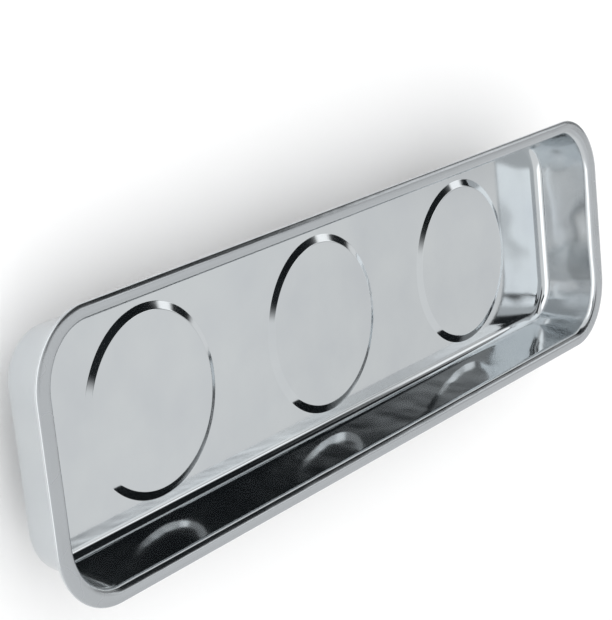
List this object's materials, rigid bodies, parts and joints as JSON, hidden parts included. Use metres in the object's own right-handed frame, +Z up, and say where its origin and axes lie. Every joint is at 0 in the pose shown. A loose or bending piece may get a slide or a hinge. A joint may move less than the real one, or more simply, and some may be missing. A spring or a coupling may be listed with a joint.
{
  "type": "magnetic parts tray",
  "caption": "Long shallow polished-steel tray with a hemmed rim and rounded corners, on rubber-covered magnet feet that grip a bench and keep small steel parts in place.",
  "frame": {"origin": "middle of the plane that the three feet rest on, below the centre of the tray", "axes": "+X along the length of the tray, +Y across it, +Z up out of the dish"},
  "size_m": [0.36, 0.1, 0.043],
  "materials": {
    "polished_stainless": "mirror polished",
    "black_rubber": "satin, moulded",
    "ferrite": "sintered, ground",
    "zinc_plated_steel": "zinc plated"
  },
  "bodies": {
    "root": {"tray_pan": "polished_stainless", "left_cover": "black_rubber", "left_magnet": "ferrite", "left_pole_plate": "zinc_plated_steel", "left_clamp_plate": "zinc_plated_steel", "left_washer": "zinc_plated_steel", "left_nut": "zinc_plated_steel", "left_stud": "zinc_plated_steel", "centre_cover": "black_rubber", "centre_magnet": "ferrite", "centre_pole_plate": "zinc_plated_steel", "centre_clamp_plate": "zinc_plated_steel", "centre_washer": "zinc_plated_steel", "centre_nut": "zinc_plated_steel", "centre_stud": "zinc_plated_steel", "right_cover": "black_rubber", "right_magnet": "ferrite", "right_pole_plate": "zinc_plated_steel", "right_clamp_plate": "zinc_plated_steel", "right_washer": "zinc_plated_steel", "right_nut": "zinc_plated_steel", "right_stud": "zinc_plated_steel"}
  },
  "joints": []
}
